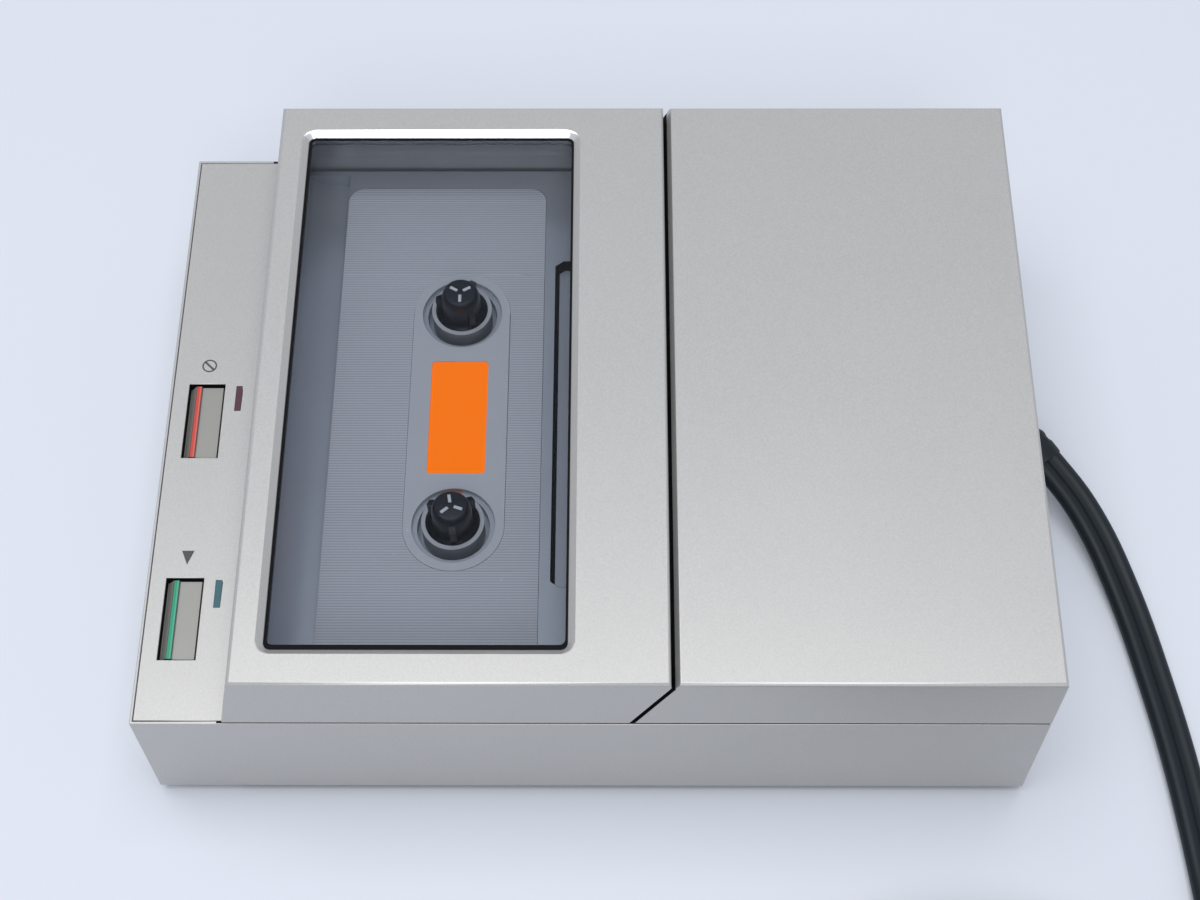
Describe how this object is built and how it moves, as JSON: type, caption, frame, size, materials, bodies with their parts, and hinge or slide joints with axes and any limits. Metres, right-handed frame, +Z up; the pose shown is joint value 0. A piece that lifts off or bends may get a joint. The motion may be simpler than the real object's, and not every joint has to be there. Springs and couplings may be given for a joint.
{
  "type": "cassette tape eraser",
  "caption": "Flat cassette tape eraser and winder: hinged windowed lid over a cassette bay, spindles, two push buttons, rear cover over motor and transformer, mains lead with plug.",
  "frame": {"origin": "centre of the case's footprint, on the plane its rubber feet stand on", "axes": "+Z up, the button strip faces -Y, the mains lead leaves at +Y and runs to +X"},
  "size_m": [0.2384, 0.1804, 0.0448],
  "materials": {
    "silver_paint": "fine metallic silver paint, satin",
    "base_black": "matt black",
    "black_rubber": "matt",
    "bright_steel": "plain zinc-plated steel",
    "key_grey": "satin grey plastic",
    "stripe_red": "red inlay",
    "stripe_green": "green inlay",
    "lens_maroon": "dark translucent",
    "lens_teal": "dark translucent",
    "board_brown": "laminate",
    "dark_plastic": "moulded black",
    "lamp_clear": "clear",
    "smoked_pane": "smoked clear plastic",
    "black_foam": "soft seal",
    "deck_grey": "dark blue-grey, satin",
    "ribbed_grey": "ribbed, satin",
    "orange_plate": "orange",
    "collar_grey": "light grey",
    "spindle_black": "glossy black",
    "mark_white": "white",
    "pulley_white": "natural plastic",
    "felt_green": "felt",
    "brass_pulley": "turned",
    "head_steel": "laminated steel",
    "core_iron": "stacked steel sheets",
    "copper_coil": "wound wire under tape",
    "part_blue": "dark blue",
    "cord_black": "smooth, slightly glossy",
    "blade_brass": "plated"
  },
  "bodies": {
    "base": {"lower_case": "silver_paint", "bottom_plate": "base_black", "rubber_feet": "black_rubber", "case_screws": "bright_steel", "control_panel": "silver_paint", "erase_spring": "bright_steel", "start_spring": "bright_steel", "erase_lens": "lens_maroon", "start_lens": "lens_teal", "switch_board": "board_brown", "push_switches": "dark_plastic", "indicator_lamps": "lamp_clear", "hinge_brackets": "bright_steel", "hinge_pins": "bright_steel", "lid_bumpers": "black_rubber", "rear_cover": "silver_paint", "deck": "deck_grey", "ribbed_plate": "ribbed_grey", "hub_surround": "ribbed_grey", "backing_plate": "orange_plate", "supply_bushing": "collar_grey", "takeup_bushing": "collar_grey", "felt_brake": "felt_green", "chassis_plate": "bright_steel", "chassis_screws": "bright_steel", "drive_motor": "bright_steel", "motor_screws": "bright_steel", "drive_belt": "black_rubber", "erase_head": "head_steel", "head_bracket": "bright_steel", "head_screws": "bright_steel", "transformer_core": "core_iron", "transformer_coil": "copper_coil", "transformer_screws": "bright_steel", "main_board": "board_brown", "board_parts": "part_blue", "strain_relief": "cord_black", "mains_cord": "cord_black", "cord_coil": "cord_black", "plug_body": "cord_black", "plug_blades": "blade_brass"},
    "lid": {"lid_frame": "silver_paint", "lid_window": "smoked_pane", "window_seal": "black_foam"},
    "erase_key": {"erase_button": "key_grey", "erase_stripe": "stripe_red"},
    "start_key": {"start_button": "key_grey", "start_stripe": "stripe_green"},
    "supply_hub": {"supply_spindle": "spindle_black", "supply_cap": "mark_white", "supply_shaft": "bright_steel", "supply_drum": "pulley_white"},
    "takeup_hub": {"takeup_spindle": "spindle_black", "takeup_cap": "mark_white", "takeup_shaft": "bright_steel", "takeup_pulley": "pulley_white"},
    "motor_rotor": {"motor_shaft": "bright_steel", "motor_pulley": "brass_pulley"}
  },
  "joints": [
    {"name": "lid_hinge", "type": "hinge", "parent": "base", "child": "lid", "pos_m": [0, 0.00975, 0.0433], "axis": [-1, 0, 0], "range_deg": [0, 60]},
    {"name": "erase_press", "type": "slide", "parent": "base", "child": "erase_key", "axis": [0, 0, -1], "range_m": [0, 0.0012], "stiffness_N_per_m": 400, "springref_m": -0.002, "deforming": ["erase_spring"]},
    {"name": "start_press", "type": "slide", "parent": "base", "child": "start_key", "axis": [0, 0, -1], "range_m": [0, 0.0012], "stiffness_N_per_m": 400, "springref_m": -0.002, "deforming": ["start_spring"]},
    {"name": "takeup_spin", "type": "hinge", "parent": "base", "child": "takeup_hub", "pos_m": [0.02125, -0.02305, 0.0304], "axis": [0, 0, 1], "continuous": true},
    {"name": "supply_spin", "type": "hinge", "parent": "base", "child": "supply_hub", "pos_m": [-0.02125, -0.02305, 0.0304], "axis": [0, 0, 1], "continuous": true},
    {"name": "motor_spin", "type": "hinge", "parent": "base", "child": "motor_rotor", "pos_m": [0.03, 0.03425, 0.012], "axis": [0, 0, 1], "continuous": true}
  ],
  "couplings": [
    {"joint": "motor_spin", "follows": "takeup_spin", "ratio": 2.6}
  ]
}
